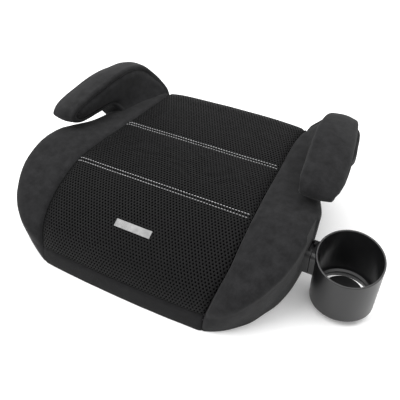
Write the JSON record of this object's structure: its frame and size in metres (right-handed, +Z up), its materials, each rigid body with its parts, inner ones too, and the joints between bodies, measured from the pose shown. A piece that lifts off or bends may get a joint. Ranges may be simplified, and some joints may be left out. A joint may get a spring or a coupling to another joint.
{
  "type": "booster seat",
  "caption": "Backless child booster seat: moulded shell with foam, fabric cover, padded armrests, and a cup holder that lifts off its side socket.",
  "frame": {"origin": "on the floor under the seat's centre line, at the middle of the round boss under the shell", "axes": "+Z up, -Y is the seat's front, +X is the seated child's left side, where the cup holder is"},
  "size_m": [0.5465, 0.3662, 0.1702],
  "materials": {
    "suede_fabric": "brushed microfibre, matte",
    "spacer_mesh": "open knitted spacer mesh",
    "plain_fabric": "plain woven, matte",
    "foam": "open-cell foam",
    "shell_plastic": "fine moulded texture",
    "arm_plastic": "fine moulded texture",
    "cup_plastic": "satin, fine texture",
    "socket_plastic": "satin, fine texture",
    "foot_rubber": "matte rubber",
    "elastic": "woven elastic tape",
    "screw_steel": "zinc plated",
    "thread": "twisted polyester thread",
    "tag_fabric": "woven satin tape"
  },
  "bodies": {
    "seat": {"center_panel": "spacer_mesh", "front_band": "plain_fabric", "rear_band": "plain_fabric", "side_cover_left": "suede_fabric", "side_cover_right": "suede_fabric", "seat_foam": "foam", "bolster_foam_right": "foam", "bolster_foam_left": "foam", "seat_shell": "shell_plastic", "shell_front": "shell_plastic", "shell_side_right": "shell_plastic", "shell_side_left": "shell_plastic", "shell_long_ribs": "shell_plastic", "shell_cross_ribs": "shell_plastic", "rubber_feet": "foot_rubber", "arm_frame_right": "arm_plastic", "arm_frame_left": "arm_plastic", "arm_foam_right": "foam", "arm_foam_left": "foam", "arm_top_cover_right": "suede_fabric", "arm_top_cover_left": "suede_fabric", "arm_inner_gusset_right": "suede_fabric", "arm_inner_gusset_left": "suede_fabric", "arm_outer_gusset_right": "suede_fabric", "arm_outer_gusset_left": "suede_fabric", "arm_screws_right": "screw_steel", "arm_screws_left": "screw_steel", "cup_socket": "socket_plastic", "socket_screws": "screw_steel", "elastic_hem": "elastic", "stitch_rows": "thread", "woven_tag": "tag_fabric"},
    "cup_holder": {"cup_holder": "cup_plastic"}
  },
  "joints": [
    {"name": "cup_holder_lift", "type": "slide", "parent": "seat", "child": "cup_holder", "axis": [0, 0, 1], "range_m": [0, 0.036]}
  ]
}
